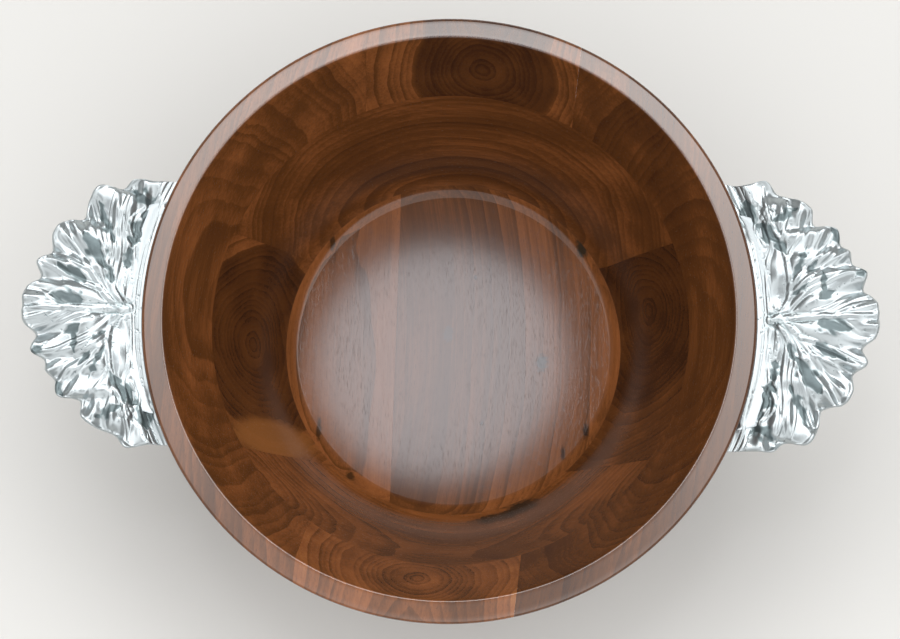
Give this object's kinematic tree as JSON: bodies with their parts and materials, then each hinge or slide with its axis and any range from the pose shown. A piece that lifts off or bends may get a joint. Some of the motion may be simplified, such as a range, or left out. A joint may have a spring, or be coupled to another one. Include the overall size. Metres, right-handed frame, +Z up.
{
  "type": "wooden salad bowl",
  "caption": "Turned wooden salad bowl glued up from boards in three crossed courses, with a cast metal leaf handle at each side.",
  "frame": {"origin": "middle of the foot, on the surface that the bowl stands on", "axes": "+X towards the right handle, +Y towards the back of the bowl, +Z up through the mouth"},
  "size_m": [0.4232, 0.3048, 0.1254],
  "materials": {
    "rim_wood": "oiled and polished, semi-gloss",
    "wall_wood": "oiled and polished, semi-gloss",
    "base_wood": "oiled and polished, semi-gloss",
    "leaf_metal": "cast and hand polished",
    "screw_steel": "plain bright steel"
  },
  "bodies": {
    "root": {"rim_board_left": "rim_wood", "rim_board_north": "rim_wood", "rim_board_south": "rim_wood", "rim_board_right": "rim_wood", "wall_board_south": "wall_wood", "wall_board_west": "wall_wood", "wall_board_east": "wall_wood", "wall_board_north": "wall_wood", "base_board_left": "base_wood", "base_board_middle": "base_wood", "base_board_right": "base_wood", "leaf_handle_right": "leaf_metal", "leaf_handle_left": "leaf_metal", "handle_screw_right_front": "screw_steel", "handle_screw_right_back": "screw_steel", "handle_screw_left_front": "screw_steel", "handle_screw_left_back": "screw_steel"}
  },
  "joints": []
}
